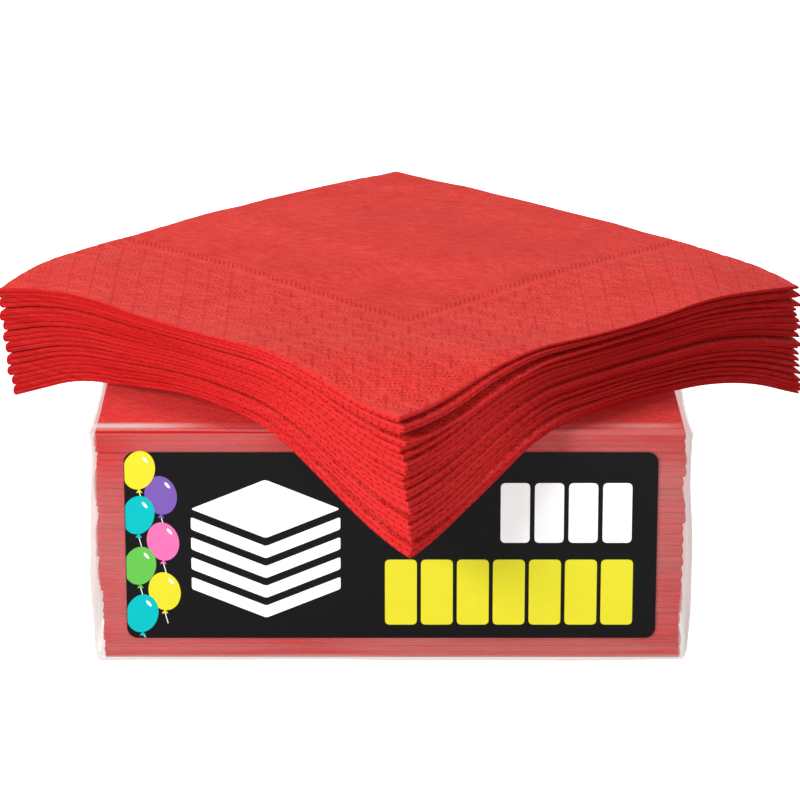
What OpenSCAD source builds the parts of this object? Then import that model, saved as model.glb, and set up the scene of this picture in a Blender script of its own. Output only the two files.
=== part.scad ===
// Pack of quarter-folded tissue napkins: a film-wrapped block with a label on its front,
// and an opened stack of the same napkins lying across its top, turned by an eighth of a turn.
// Millimetres. +Z is up, -Y is the labelled front, and the origin is the middle of the underside.

/* [Napkin] */
// Side of one folded napkin, a quarter of the open sheet
napkin_side = 165; // [150:1:180]
// Thickness of one leaf of creped tissue
leaf_t = 0.73; // [0.6:0.01:0.75]

/* [Wrapped block] */
// Height that each folded napkin takes up in the block
pack_pitch = 3.36; // [3.3:0.01:3.8]
// Clear film, drawn thicker than it is so that it stays a sound solid
film_t = 0.2; // [0.1:0.05:0.4]
// Room between the napkins' side edges and the film
side_room = 1.8; // [0.5:0.1:3]
// Room between the napkins' back folds and the film
back_room = 0.8; // [0.2:0.1:3]
// Radius of the film's upright corners
film_corner_r = 2; // [1:0.25:2]
// Height of the lap seam that closes the film along the back
seam_h = 14; // [8:1:25]

/* [Label] */
// Width of the front label
label_w = 149.5; // [100:0.5:155]
// Height of the front label
label_h = 55; // [30:1:60]
// Corner radius of the front label
label_corner_r = 3; // [1:0.5:10]
// Thickness of the front label
label_t = 0.15; // [0.1:0.05:0.5]

/* [Loose stack] */
// How much wider a napkin lies once it is out of the film
loose_spread = 6; // [0:0.5:8]
// Height that each loose folded napkin takes up
loose_pitch = 3.1; // [2.9:0.05:3.4]
// How far the loose stack sits forward of the block's centre
stack_forward = 4; // [0:1:12]
// Radius that the front corner bends over the block's top edge
front_bend_r = 20; // [12:1:40]
// How steeply the front corner hangs
front_hang = 50; // [20:1:60]
// Radius that the two side corners bend over the block's top edges
side_bend_r = 45; // [30:1:90]
// How steeply the side corners hang
side_hang = 26; // [10:1:40]
// Radius that the back corner bends over the block's top edge
back_bend_r = 150; // [60:5:200]
// How steeply the back corner hangs
back_hang = 6; // [3:1:20]

/* [Hidden] */
// Smallest clearance between sheets that only lie on each other
lay_gap = 0.1;
leaves = 4;
// Shares of the film's height that the lower and upper end flaps reach over
lower_flap_share = 0.62;
upper_flap_share = 0.58;
// How fast the end flaps narrow towards their tips
flap_taper = 0.8;
// How deep the end flaps and the back seam are sunk into the film that they are sealed to
seal_depth = film_t / 2;
// How far forward of the block's edges the front and back bends start
start_shift = 1.5;
pack_count = 20;
loose_count = 10;

half_side = napkin_side / 2;
half_diagonal = (napkin_side + loose_spread) * sqrt(2) / 2;
leaf_pitch = pack_pitch / leaves;
fold_gap = leaf_pitch - leaf_t;

// The half-round turns end flush with the napkin's outline
spine_x = half_side - (leaf_pitch + fold_gap / 2 + leaf_t);
first_fold_y = half_side - (fold_gap / 2 + leaf_t);

block_h = pack_count * pack_pitch - fold_gap;
film_h = block_h + 2 * (film_t + lay_gap);
film_front = -half_side - lay_gap - film_t;
film_back = half_side + back_room + film_t;
film_half_w = half_side + side_room + film_t;

// One bend: [distance of its start from the block's axis, radius, steepest angle,
// length of the corner beyond its start]
front_start = half_side - start_shift;
side_start = half_side;
back_start = half_side + start_shift;
front_bend = [front_start, front_bend_r, front_hang, half_diagonal + stack_forward - front_start];
side_bend = [side_start, side_bend_r, side_hang, half_diagonal - side_start];
back_bend = [back_start, back_bend_r, back_hang, half_diagonal - stack_forward - back_start];
stack_base = film_h + lay_gap;

napkin_red = [0.87, 0.28, 0.25];
curve_fn = 64;
// Flats that make up each bend of a loose napkin
bend_steps = 8;
// Flat length before each side bend, shared with the middle of the sheet
lead_in = 4;

function two_digits(number) = number < 10 ? str("0", number) : str(number);
function pack_node(number) = str("pack_napkin_", two_digits(number));
function loose_node(number) = str("loose_napkin_", two_digits(number));

// ---- Film and label ----

// Rectangle with its low corner at the origin and its corners rounded
module rounded_rectangle(width, depth, r) {
    translate([r, 0]) square([width - 2 * r, depth]);
    translate([0, r]) square([width, depth - 2 * r]);
    for (x = [r, width - r], y = [r, depth - r])
        translate([x, y]) circle(r, $fn = curve_fn);
}

// The film's outer block, drawn in by inset on every side
module film_block(inset) {
    width = 2 * (film_half_w - inset);
    depth = film_back - film_front - 2 * inset;
    translate([-film_half_w + inset, film_front + inset, inset])
        linear_extrude(film_h - 2 * inset)
            rounded_rectangle(width, depth, film_corner_r - inset);
}

// One folded-in end flap, a trapezium on the side of the block
module end_flap(base_z, tip_z, thickness) {
    front = film_front + film_corner_r;
    back = film_back - film_corner_r;
    taper = abs(tip_z - base_z) * flap_taper;
    outline = [[front, base_z], [back, base_z], [back - taper, tip_z], [front + taper, tip_z]];
    translate([film_half_w + thickness, 0, 0])
        rotate([90, 0, 90])
            mirror([0, 0, 1])
                linear_extrude(thickness + seal_depth) polygon(outline);
}

module film_ends() {
    for (side = [0, 1])
        mirror([side, 0, 0]) {
            end_flap(0, film_h * lower_flap_share, film_t);
            end_flap(film_h, film_h * (1 - upper_flap_share), 2 * film_t);
        }
}

// The lap along the back where the film's two long edges are sealed together
module back_seam() {
    translate([-film_half_w + film_corner_r, film_back - seal_depth, (film_h - seam_h) / 2])
        cube([2 * (film_half_w - film_corner_r), film_t + seal_depth, seam_h]);
}

module film_wrap() {
    color("white", 0.35) {
        difference() {
            film_block(0);
            film_block(film_t);
        }
        film_ends();
        back_seam();
    }
}

module front_label() {
    color([0.12, 0.12, 0.12])
        translate([-label_w / 2, film_front, (film_h - label_h) / 2])
            rotate([90, 0, 0])
                linear_extrude(label_t) rounded_rectangle(label_w, label_h, label_corner_r);
}

// ---- Folded napkins of the wrapped block ----

// Half of a ring one leaf thick, open towards -X
module half_ring(inner_r) {
    outer_r = inner_r + leaf_t;
    intersection() {
        difference() {
            circle(outer_r, $fn = curve_fn);
            circle(inner_r, $fn = curve_fn);
        }
        translate([0, -outer_r]) square([outer_r, 2 * outer_r]);
    }
}

// One flat leaf, between the open edges and the start of both folds
module leaf(level) {
    translate([-half_side, -half_side, level * leaf_pitch])
        cube([half_side + spine_x, half_side + first_fold_y, leaf_t]);
}

// The turn of the second fold, along the right-hand edge: the inner one joins the
// middle leaves and the outer one joins the lowest leaf to the highest
module spine_turn(inner_r) {
    middle_z = (leaves * leaf_pitch - fold_gap) / 2;
    translate([spine_x, first_fold_y, middle_z])
        rotate([90, 0, 0])
            linear_extrude(half_side + first_fold_y) half_ring(inner_r);
}

// The turn of the first fold, along the back edge, which joins a leaf to the next one up
module first_turn(level) {
    middle_z = (level + 1) * leaf_pitch - fold_gap / 2;
    translate([-half_side, first_fold_y, middle_z])
        rotate([90, 0, 90])
            linear_extrude(half_side + spine_x) half_ring(fold_gap / 2);
}

module folded_napkin() {
    for (level = [0 : leaves - 1]) leaf(level);
    spine_turn(fold_gap / 2);
    spine_turn(fold_gap / 2 + leaf_pitch);
    first_turn(0);
    first_turn(2);
}

module pack_napkin(number) {
    color(napkin_red)
        translate([0, 0, film_t + lay_gap + (number - 1) * pack_pitch]) folded_napkin();
}

// ---- Loose napkins, bent over the block's edges ----

// Angle that a corner has turned through when the sheet lies height above the lowest one
function turn_of(bend, height) =
    min(bend[2], bend[3] / (bend[1] + height) * 180 / PI);

// Straight length left over beyond the bend
function tail_of(bend, height) =
    max(0, bend[3] - (bend[1] + height) * turn_of(bend, height) * PI / 180);

// Plan distance of the corner's tip from the block's axis
function reach_of(bend, height) =
    bend[0]
    + (bend[1] + height) * sin(turn_of(bend, height))
    + tail_of(bend, height) * cos(turn_of(bend, height));

// Side view of a hanging corner's surface, from the start of its bend to its tip
function hanging_line(bend, height, middle) =
    let(
        turn = turn_of(bend, middle),
        tail = tail_of(bend, middle),
        r = bend[1] + height,
        end = [bend[0] + r * sin(turn), r * cos(turn) - bend[1]],
        tip = end + tail * [cos(turn), -sin(turn)],
        bent = [
            for (step = [0 : bend_steps])
                let(angle = turn * step / bend_steps)
                [bend[0] + r * sin(angle), r * cos(angle) - bend[1]]
        ]
    )
    tail > 0 ? concat(bent, [tip]) : bent;

function reversed(points) = [for (i = [len(points) - 1 : -1 : 0]) points[i]];
function mirrored(points) = [for (point = points) [-point[0], point[1]]];

// Side view of one hanging corner, between two heights above the stack's base
module hanging_end(bend, low, high) {
    middle = (low + high) / 2;
    polygon(concat(
        [[bend[0] - lead_in, low], [bend[0] - lead_in, high]],
        hanging_line(bend, high, middle),
        reversed(hanging_line(bend, low, middle))
    ));
}

// Side view from the back corner (left) to the front corner (right)
module front_back_view(low, high) {
    middle = (low + high) / 2;
    polygon(concat(
        mirrored(reversed(hanging_line(back_bend, high, middle))),
        hanging_line(front_bend, high, middle),
        reversed(hanging_line(front_bend, low, middle)),
        mirrored(hanging_line(back_bend, low, middle))
    ));
}

// Plan of a sheet at a height: a square on its corner, drawn in where the corners hang
module stack_plan(height) {
    // A right-angled corner is as wide to each side as it is long
    front_w = front_bend[3];
    side_w = side_bend[3];
    back_w = back_bend[3];
    side_reach = reach_of(side_bend, height);
    polygon([
        [0, -reach_of(front_bend, height)],
        [front_w, -front_start],
        [side_start, -stack_forward - side_w],
        [side_reach, -stack_forward],
        [side_start, -stack_forward + side_w],
        [back_w, back_start],
        [0, reach_of(back_bend, height)],
        [-back_w, back_start],
        [-side_start, -stack_forward + side_w],
        [-side_reach, -stack_forward],
        [-side_start, -stack_forward - side_w],
        [-front_w, -front_start]
    ]);
}

// The space between two heights in the loose stack
module bent_sheet(low, high) {
    translate([0, 0, stack_base])
        intersection() {
            linear_extrude(2 * napkin_side, center = true) stack_plan((low + high) / 2);
            union() {
                rotate([90, 0, -90])
                    linear_extrude(2 * side_start, center = true) front_back_view(low, high);
                for (side = [0, 1])
                    mirror([side, 0, 0])
                        rotate([90, 0, 0])
                            linear_extrude(napkin_side, center = true)
                                hanging_end(side_bend, low, high);
            }
        }
}

module loose_napkin(number) {
    low = (number - 1) * loose_pitch;
    height = number == loose_count ? loose_pitch / 2 : loose_pitch;
    color(napkin_red) bent_sheet(low, low + height - lay_gap);
}

// The upper two leaves of the top napkin, which lift about its back-left fold
module top_napkin_flap() {
    high = loose_count * loose_pitch;
    color(napkin_red) bent_sheet(high - loose_pitch / 2, high - lay_gap);
}

film_wrap();
front_label();
for (number = [1 : pack_count])
    pack_napkin(number);
for (number = [1 : loose_count])
    loose_napkin(number);
top_napkin_flap();
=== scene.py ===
"""Film-wrapped block of folded red napkins with a loose stack of the same napkins on top.

Every napkin is a sheet folded twice: four leaves joined by a first fold along one edge and
by a second fold, the spine, along the next edge. A sheet is made flat in its own p and q,
where p runs from the spine to an open edge and q from the first fold to the other open
edge, and is then laid in the wrapped block or bent over the block's edges.
"""

import math
from itertools import product

import bpy
import numpy as np
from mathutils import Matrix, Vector


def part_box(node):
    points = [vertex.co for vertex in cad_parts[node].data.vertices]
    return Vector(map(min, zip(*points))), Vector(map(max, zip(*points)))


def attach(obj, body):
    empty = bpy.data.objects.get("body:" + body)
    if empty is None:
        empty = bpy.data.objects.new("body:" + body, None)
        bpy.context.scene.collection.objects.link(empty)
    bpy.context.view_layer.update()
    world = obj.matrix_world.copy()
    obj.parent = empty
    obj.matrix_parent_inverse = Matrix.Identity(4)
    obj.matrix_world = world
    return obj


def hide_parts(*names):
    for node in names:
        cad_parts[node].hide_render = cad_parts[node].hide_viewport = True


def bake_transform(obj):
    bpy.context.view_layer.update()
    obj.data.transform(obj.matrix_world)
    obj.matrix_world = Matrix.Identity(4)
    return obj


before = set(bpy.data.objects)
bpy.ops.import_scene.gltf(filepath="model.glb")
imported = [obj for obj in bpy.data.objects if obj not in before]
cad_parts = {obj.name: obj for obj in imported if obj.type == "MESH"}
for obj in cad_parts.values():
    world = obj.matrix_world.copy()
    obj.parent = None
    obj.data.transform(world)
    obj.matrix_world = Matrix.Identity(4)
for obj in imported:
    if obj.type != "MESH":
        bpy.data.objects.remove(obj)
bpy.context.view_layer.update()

MM = 0.001
ROOT = "wrapped_block"
PACK_COUNT = 20
LOOSE_COUNT = 10
LEAVES = 4
# Share of a leaf's width that the last strip before its open edge takes
RIM_SHARE = 0.003

# ---- Sizes from the frame ----

FILM_LO, FILM_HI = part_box("film_wrap")
BLOCK_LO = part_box("pack_napkin_01")[0]
BLOCK_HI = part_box(f"pack_napkin_{PACK_COUNT:02d}")[1]
LABEL_LO, LABEL_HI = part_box("front_label")
HALF = (BLOCK_HI.x - BLOCK_LO.x) / 2
BLOCK_H = BLOCK_HI.z - BLOCK_LO.z
STACK_BASE = FILM_HI.z + 0.1 * MM
STACK_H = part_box("top_napkin_flap")[1].z - STACK_BASE

# Half the width of a loose napkin, how far the loose stack lies forward and to the right of the
# block's middle, how far its bottom leans to the right, and its turn
LOOSE_HALF = HALF + 3.2 * MM
STACK_FORWARD = 4 * MM
STACK_RIGHT = 1.8 * MM
STACK_LEAN = 2.7 * MM
STACK_TURN = -0.0075

# ---- How the loose stack bends ----

# How far in from the side corners their leaves come together
PINCH = 7 * MM

# The back and side corners: plan axis, its direction, where the bend starts, radius, steepest turn
BENDS = (
    (1, 1, HALF + 1.5 * MM, 150 * MM, math.radians(4)),
    (0, -1, HALF, 32 * MM, math.radians(29)),
    (0, 1, HALF + 3 * MM, 55 * MM, math.radians(30)),
)

# The front corner, at the bottom and at the top of the stack: where its bend starts, how long the
# bend is, how steeply it ends, and how far its tip flicks out again over the last FLICK_W
FRONT_START = (HALF - 1.5 * MM, HALF - 1.5 * MM)
FRONT_BEND = (21 * MM, 26 * MM)
FRONT_STEEPEST = (math.radians(69), math.radians(35))
FRONT_FLICK = (math.radians(52), math.radians(17))
FLICK_W = 18 * MM

# ---- Embossed border ----

# Width of the border, and the coin line inside it: its place in from the edge, width and tick pitch
BORDER_W = 46 * MM
COIN_LINE = 50 * MM
COIN_LINE_W = 3.4 * MM
TICK_PITCH = 1.36 * MM
# The border's blocks: their width, how much nearer the front each one is than the block to its
# left, the length of a row of blocks from back to front, and how far right each next row starts
COLUMN_W = 6.8 * MM
COLUMN_DROP = 6.9 * MM
ROW_H = 9.465 * MM
ROW_SHIFT = 2.4 * MM
# The grooves between the blocks: how long they are in each row, and about half their width
GROOVE_H = 8.2 * MM
GROOVE_HALF_W = 0.55 * MM
# Nearer the side corners than this the upright grooves run on from row to row
LONG_SEAMS_FROM = 48 * MM
# Dots to a block's width, and in millimetres: a dot row's height and where the blank patch starts
DOTS_ACROSS = 5
PIT_RISE = 1.4
BLANK_FROM = 7.0
# Millimetres from one pit to the next along the leaves' cut edges
EDGE_PIT_PITCH = 2.8
# Relief in millimetres: the pressed grooves, dashes and ticks, the blocks' crown, crepe and swell
GROOVE_DEPTH = 0.15
DASH_DEPTH = 0.05
TICK_DEPTH = 0.08
CROWN_H = 0.05
CREPE_H = 0.05
SWELL_H = 0.09


def smooth(x):
    """0 below 0, 1 above 1, with a soft start and end."""
    x = np.clip(x, 0, 1)
    return x * x * (3 - 2 * x)


def mix(a, b, share):
    return a + (b - a) * share


# ---- Mesh helpers ----


def new_mesh(name, points, faces, smooth_faces=True):
    mesh = bpy.data.meshes.new(name)
    if isinstance(faces, np.ndarray):
        points, faces = points.tolist(), faces.tolist()
    mesh.from_pydata(points, [], faces)
    if smooth_faces:
        mesh.polygons.foreach_set("use_smooth", np.ones(len(mesh.polygons), bool))
    mesh.update()
    obj = bpy.data.objects.new(name, mesh)
    bpy.context.scene.collection.objects.link(obj)
    return obj


def set_uv(obj, per_corner):
    """Gives each face corner its place, in millimetres."""
    layer = obj.data.uv_layers.new(name="sheet")
    layer.data.foreach_set("uv", (per_corner / MM).astype(np.float32).ravel())


def signed_volume(points, faces):
    """Above 0 if the faces look outwards."""
    a, b, c, d = (points[faces[:, i]] for i in range(4))
    return (np.einsum("ij,ij->i", a, np.cross(b, c)) + np.einsum("ij,ij->i", a, np.cross(c, d))).sum()


def stand_for(piece, node, body):
    """Lets a piece take a CAD node's place: it rides on body and the node is hidden."""
    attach(piece, body)
    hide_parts(node)


# ---- The folded sheet ----


def wander(rng, amplitude, waves=4):
    """A smooth random line over 0 to 1, about amplitude high."""
    sizes = rng.normal(0, 1, waves) / np.sqrt(np.arange(1, waves + 1)) * amplitude * 0.6
    phases = rng.uniform(0, 2 * np.pi, waves)

    def line(s):
        parts = enumerate(zip(sizes, phases), 1)
        return sum(size * np.sin(np.pi * k * s + phase) for k, (size, phase) in parts)

    return line


def fold_line(flat_steps, turn_steps, low=True, turn=True, high=True, high_steps=None):
    """Shares from fold to open edge, and turn angles, along a line that is folded in half."""
    share, angle = [], []
    if low:
        share += [1.0] + list(np.linspace(1 - RIM_SHARE, 0, flat_steps))
        angle += [0.0] * (flat_steps + 1)
    if turn:
        turns = np.linspace(0, math.pi, turn_steps + 1)
        turns = turns[1 if low else 0:-1 if high else None]
        share += [0.0] * len(turns)
        angle += list(turns)
    if high:
        steps = high_steps or flat_steps
        share += list(np.linspace(0, 1 - RIM_SHARE, steps)) + [1.0]
        angle += [math.pi] * (steps + 1)
    return np.array(share), np.array(angle)


class Sheet:
    """One napkin's places: how its leaves stray, and how the napkin sits in the pile."""

    def __init__(self, rng, half, p_stray, q_stray, shift, turn):
        self.half = half
        self.p_wander = self.pair_lines(rng, p_stray)
        self.q_wander = self.pair_lines(rng, q_stray)
        self.shift = rng.uniform(-1, 1, 2) * shift
        self.turn = rng.uniform(-1, 1) * turn
        # The spine's bulge as a share of a round turn, and the bulge of a leaf's cut edge
        self.fold_bulge = 0.7
        self.rim_bulge = 0.48 * MM
        # How far the pattern is shifted from leaf to leaf
        self.phase = rng.uniform(-3, 3, (LEAVES, 2)) * MM

    @staticmethod
    def pair_lines(rng, stray):
        """How far each leaf's edge strays; the two leaves of a pair stray nearly together."""
        lines = []
        for _ in range(LEAVES // 2):
            pair, offset = wander(rng, stray), rng.uniform(-1, 1) * stray
            for _ in range(2):
                own, own_offset = wander(rng, 0.15 * stray), rng.uniform(-0.25, 0.25) * stray

                def line(s, pair=pair, own=own, offset=offset + own_offset):
                    return pair(s) + own(s) + offset

                lines.append(line)
        return lines


def once_round(grid):
    """The grid's outermost values, in order round it."""
    return np.concatenate([grid[0, :-1], grid[:-1, -1], grid[-1, :0:-1], grid[:0:-1, 0]])


def quads(a, b, c, d):
    """Faces of four corners, each corner from its own grid."""
    return np.stack([a, b, c, d], -1).reshape(-1, 4)


class FoldedPoints:
    """The grid of a folded sheet, or of part of one.

    Rows follow the spine's folded line and columns the first fold's, so a point's row and column
    say which leaf it is on. slots(p, q) gives the middle heights and the thickness of the leaves.
    """

    def __init__(self, sheet, slots, spine, first):
        self.sheet = sheet
        self.share_p, self.spine_turn = (values[:, None] for values in spine)
        self.share_q, self.first_turn = (values[None, :] for values in first)
        self.upper = (1 - np.cos(self.spine_turn)) / 2
        self.inner = (1 - np.cos(self.first_turn)) / 2
        half, pitch = sheet.half, BLOCK_H / PACK_COUNT / LEAVES
        fold_p = -half + (0.45 + 1.45 * sheet.fold_bulge) * pitch
        fold_q = -half + 0.9 * pitch
        self.p = fold_p + (half - fold_p) * self.share_p + 0 * self.share_q
        self.q = fold_q + (half - fold_q) * self.share_q + 0 * self.share_p
        self.middles, self.thickness = slots(self.p, self.q)
        pairs = [(self.middles[i] + self.middles[i + 1]) / 2 for i in (0, 2)]
        self.height = self.of_leaves(self.middles)
        self.pair_height = mix(*pairs, self.upper)
        self.grid = np.arange(self.p.size).reshape(self.p.shape)
        self.border = once_round(self.grid)
        self.rim = 2 * self.p.size + np.arange(len(self.border))

    def of_leaves(self, values):
        """One value for each leaf, passing from leaf to leaf through the folds."""
        low = mix(values[0], values[1], self.inner)
        high = mix(values[3], values[2], self.inner)
        return mix(low, high, self.upper)

    def middle(self):
        """The middle of the sheet's thickness, turned round both folds, with its edges astray."""
        sheet, middles = self.sheet, self.middles
        low = mix(middles[0], middles[1], self.inner)
        high = mix(middles[3], middles[2], self.inner)
        first_radius = mix(middles[1] - middles[0], middles[3] - middles[2], self.upper) / 2
        along_p, along_q = ((value + sheet.half) / (2 * sheet.half) for value in (self.p, self.q))
        stray_p = self.of_leaves([line(along_q) for line in sheet.p_wander])
        stray_q = self.of_leaves([line(along_p) for line in sheet.q_wander])
        bulge = sheet.fold_bulge * (high - low) / 2 * np.sin(self.spine_turn) ** 0.7
        p = self.p - bulge + stray_p * self.share_p**3
        q = self.q - first_radius * np.sin(self.first_turn) + stray_q * self.share_q**3
        return np.stack([p, q, self.height], -1)

    def normal(self):
        spine, first = self.spine_turn, self.first_turn
        outward = (
            -np.sin(spine) * np.cos(first),
            -np.sin(first) + 0 * spine,
            -np.cos(spine) * np.cos(first),
        )
        return np.stack(np.broadcast_arrays(*outward), -1)

    def surfaces(self, emboss):
        """The sheet's outer face, its inner face and the rounded rim between them."""
        middle, normal, bulge = self.middle(), self.normal(), self.sheet.rim_bulge
        half_t = self.thickness[..., None] / 2
        outer = middle + normal * half_t
        if emboss is not None:
            outer = outer - normal * emboss(self.p, self.q)[..., None]
        at_p, at_q = self.share_p**8, self.share_q**8
        to_pair = 0.7 * np.maximum(at_p, at_q) * (self.pair_height - self.height) / bulge
        outward = np.stack(np.broadcast_arrays(at_p, at_q, to_pair), -1)
        return np.stack([outer, middle - normal * half_t, middle + outward * bulge])

    def laid(self, lay, emboss):
        """All the points, with the napkin shifted and turned in its pile and laid by lay."""
        p, q, height = np.moveaxis(self.surfaces(emboss), -1, 0)
        turn, shift = self.sheet.turn, self.sheet.shift
        cos, sin = math.cos(turn), math.sin(turn)
        laid = lay(p * cos - q * sin + shift[0], p * sin + q * cos + shift[1], height)
        outer, under, rim = laid.reshape(3, -1, 3)
        return np.concatenate([outer, under, rim[self.border]])

    def faces(self):
        """Both faces of the sheet, then the two strips of its rim."""
        outer, under = self.grid, self.grid + self.p.size
        top = quads(outer[:-1, :-1], outer[1:, :-1], outer[1:, 1:], outer[:-1, 1:])
        bottom = quads(under[:-1, :-1], under[:-1, 1:], under[1:, 1:], under[1:, :-1])
        ring = self.border, self.rim, self.border + self.p.size
        strips = [quads(a, np.roll(a, -1), np.roll(b, -1), b) for a, b in (ring[:2], ring[1:])]
        return np.concatenate([top, bottom]), np.concatenate(strips)

    def face_uv(self):
        """Every point's place on the flat sheet."""
        phase = np.stack([self.of_leaves(list(self.sheet.phase[:, i])) for i in (0, 1)], -1)
        flat = (np.stack([self.p, self.q], -1) + phase).reshape(-1, 2)
        return np.concatenate([flat, flat, flat[self.border]])

    def rim_uv(self):
        """Every rim point's place along the cut edge and, 4 mm apart for each leaf pair, across it."""
        border = self.border
        leaf = np.round(self.of_leaves([0.0, 1.0, 2.0, 3.0])).reshape(-1)[border]
        pair, odd = np.divmod(leaf, 2)
        on_row = np.isin(border, np.concatenate([self.grid[0], self.grid[-1]]))
        along = np.where(on_row, self.q.reshape(-1)[border], self.p.reshape(-1)[border])
        along = along + pair * 0.9 * MM + self.sheet.phase[0, 0]
        below = (self.height - self.pair_height).reshape(-1)[border]
        across = pair * 4 * MM + below
        to_face = np.where(odd == 1, 1, -1) * self.thickness.reshape(-1)[border] / 2
        uv = np.zeros((self.rim[-1] + 1, 2))
        uv[border] = np.stack([along, across + to_face], -1)
        uv[border + self.p.size] = np.stack([along, across - to_face], -1)
        uv[self.rim] = np.stack([along, across - 0.7 * below], -1)
        return uv


def folded_sheet(name, folded, lay, looks, emboss=None):
    """A closed mesh: lay(p, q, height) places the points, and looks are its faces' and its rim's."""
    points = folded.laid(lay, emboss)
    flat_faces, rim_faces = folded.faces()
    faces = np.concatenate([flat_faces, rim_faces])
    if signed_volume(points, faces) < 0:
        faces = faces[:, ::-1]
    obj = new_mesh(name, points, faces)
    corners = faces.reshape(-1)
    in_rim = np.arange(len(corners)) >= flat_faces.size
    set_uv(obj, np.where(in_rim[:, None], folded.rim_uv()[corners], folded.face_uv()[corners]))
    for look in looks:
        obj.data.materials.append(MATERIALS[look])
    is_rim = np.arange(len(faces)) >= len(flat_faces)
    obj.data.polygons.foreach_set("material_index", is_rim.astype(np.int32))
    obj.data.update()
    return obj


# ---- The loose stack ----

LOOSE_LEAVES = LOOSE_COUNT * LEAVES
# Shares of the height that the leaves fill at the left and right ends of the open edges
FILLED = (0.85, 0.72)
# How far the bottom napkin arches up between its hanging corners, front left and front right
ARCH = (4.7 * MM, 2.2 * MM)
# Steps along a leaf of the top sheet, enough for its relief to be in the mesh
FINE = 200
# How far in from the open edges the leaves start to come apart
EDGE_W = 26 * MM
# How much thinner the stack is than at its middle, as shares of its height: at the middles of the
# front, back left and back right edges, at the back towards the side corners, and at the right tip
FRONT_SQUEEZE = 0.21
BACK_LEFT_SQUEEZE = 0.055
BACK_RIGHT_SQUEEZE = 0.09
SHOULDER_SQUEEZE = 0.07
RIGHT_TIP_SQUEEZE = 0.06


def gap_shares(rng, count, in_first_fold, unevenness):
    """How the free height between the leaves of count napkins builds up from the bottom.

    It gathers mostly between napkins, less inside the spine and least inside a first fold.
    """
    kind = np.tile([1.0, in_first_fold, 0.5, in_first_fold], count)
    shares = kind * rng.exponential(1.0, len(kind)) ** unevenness
    shares[0] = 0
    return np.cumsum(shares) / shares.sum()


STACK_RNG = np.random.default_rng(11)
GAPS_LEFT, GAPS_FRONT, GAPS_RIGHT = (
    gap_shares(STACK_RNG, LOOSE_COUNT, 0.12, unevenness) for unevenness in (0.6, 0.9, 1.25)
)


def squeeze(p, q):
    """How much thinner the stack is than at its middle, as a share of its height."""
    along_p, along_q = p / LOOSE_HALF, q / LOOSE_HALF
    front_left = smooth((along_q + 0.45) / 1.45) * (1 - along_p**2)
    front_right = smooth((along_p + 0.45) / 1.45) * (1 - along_q**2)
    back_right = smooth(-along_q) * (1 - along_p**2)
    back_left = smooth(-along_p) * (1 - along_q**2)
    front = np.clip(front_left, 0, 1) + np.clip(front_right, 0, 1)
    back = BACK_LEFT_SQUEEZE * np.clip(back_left, 0, 1) + BACK_RIGHT_SQUEEZE * np.clip(back_right, 0, 1)
    aside = np.abs(along_p - along_q) / 2
    behind = smooth(-2.5 * (along_p + along_q))
    back = back + SHOULDER_SQUEEZE * behind * np.exp(-(((aside - 0.74) / 0.17) ** 2))
    right_tip = RIGHT_TIP_SQUEEZE * smooth(((along_p - along_q) / 2 - 0.66) / 0.3)
    return FRONT_SQUEEZE * front + back + right_tip


def arch(along_p, along_q):
    """How far the front edges lift off the block halfway between two hanging corners."""
    left = ARCH[0] * smooth((along_q - 0.15) / 0.85) * np.maximum(1 - along_p**2, 0) ** 7
    right = ARCH[1] * smooth((along_p - 0.15) / 0.85) * np.maximum(1 - along_q**2, 0) ** 7
    return left + right


def stack_slots(number):
    """The leaf slots of one loose napkin, number 1 being the lowest."""
    first_leaf = (number - 1) * LEAVES

    def slots(p, q):
        half = LOOSE_HALF
        edge = np.maximum(
            smooth((p - half + EDGE_W) / EDGE_W), smooth((q - half + EDGE_W) / EDGE_W)
        )
        base = arch(p / half, q / half)
        total = STACK_H * (1 - squeeze(p, q)) - base
        right = (p - q) / (2 * half)
        front = smooth((p + q) / (2 * half))
        to_right = smooth((right + 1) / 2)
        filled = mix(0.965, mix(FILLED[0], FILLED[1], to_right), edge)
        leaf_t = total / LOOSE_LEAVES * filled
        free = total - LOOSE_LEAVES * leaf_t
        middles = []
        for leaf in range(first_leaf, first_leaf + LEAVES):
            gap = mix(mix(GAPS_LEFT[leaf], GAPS_RIGHT[leaf], to_right), GAPS_FRONT[leaf], front)
            gap = mix(leaf / (LOOSE_LEAVES - 1), gap, edge)
            middles.append(base + (leaf + 0.5) * leaf_t + free * gap)
        to_tip = np.abs(p - q) / math.sqrt(2) - math.sqrt(2) * half + PINCH
        pinch = smooth(to_tip / PINCH) * to_right
        for pair in (0, 2):
            middle = (middles[pair] + middles[pair + 1]) / 2
            for leaf in (pair, pair + 1):
                middles[leaf] = mix(middles[leaf], middle, 0.2 * pinch)
        return middles, leaf_t * (1 - 0.2 * pinch)

    return slots


def curl(beyond, length, steepest, flick_from=1.0, flick_rate=1.0):
    """Reach and drop of a strip that bends over length, runs straight, then turns back."""
    bent = np.minimum(beyond, length)
    turn = steepest * bent / length
    radius = length / steepest
    straight = np.minimum(beyond, flick_from) - bent
    out = turn - np.maximum(beyond - flick_from, 0) * flick_rate
    reach = radius * np.sin(turn) + straight * np.cos(turn)
    drop = radius * (1 - np.cos(turn)) + straight * np.sin(turn)
    reach = reach + (np.sin(turn) - np.sin(out)) / flick_rate
    drop = drop + (np.cos(out) - np.cos(turn)) / flick_rate
    return reach, drop


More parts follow.
